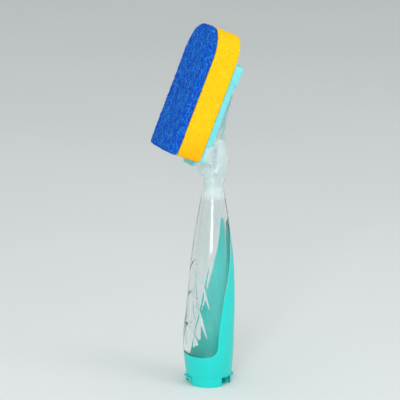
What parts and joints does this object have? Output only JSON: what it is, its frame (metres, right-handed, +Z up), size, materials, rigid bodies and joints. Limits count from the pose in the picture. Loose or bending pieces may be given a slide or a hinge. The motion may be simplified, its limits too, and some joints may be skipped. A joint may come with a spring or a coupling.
{
  "type": "refillable dish wand",
  "caption": "Dish wand with a clear soap-holding handle, soft grip, flip lid for filling and a slide-on foam and scourer refill on a tilted head.",
  "frame": {"origin": "centre of the lid's flat face, which lies level with the collar's standing ring", "axes": "+Z up along the handle towards the head; the scouring side faces -Y and the back of the head faces +Y; +X completes the right-handed frame"},
  "size_m": [0.0402, 0.0621, 0.2805],
  "materials": {
    "clear_plastic": "clear, polished, very slightly aqua",
    "grip": "satin soft-touch, aqua",
    "aqua_plastic": "satin moulded, aqua",
    "pale_plastic": "moulded, pale translucent aqua",
    "silicone": "matte, milky",
    "foam": "open-cell foam, golden yellow",
    "scouring_web": "non-woven fibre web, royal blue"
  },
  "bodies": {
    "wand": {"tank": "clear_plastic", "head": "clear_plastic", "grip_sleeve": "grip", "filler_collar": "aqua_plastic", "collar_gasket": "silicone", "outlet_valve": "silicone", "valve_ring": "pale_plastic"},
    "lid": {"lid": "aqua_plastic", "lid_seal": "silicone"},
    "refill": {"refill_plate": "pale_plastic", "foam_pad": "foam", "scourer_pad": "scouring_web"}
  },
  "joints": [
    {"name": "lid_hinge", "type": "hinge", "parent": "wand", "child": "lid", "pos_m": [0, 0.0163, 0.006], "axis": [1, 0, 0], "range_deg": [0, 115]},
    {"name": "refill_slide", "type": "slide", "parent": "wand", "child": "refill", "axis": [0, 0.3795, 0.9252], "range_m": [0, 0.07]}
  ]
}
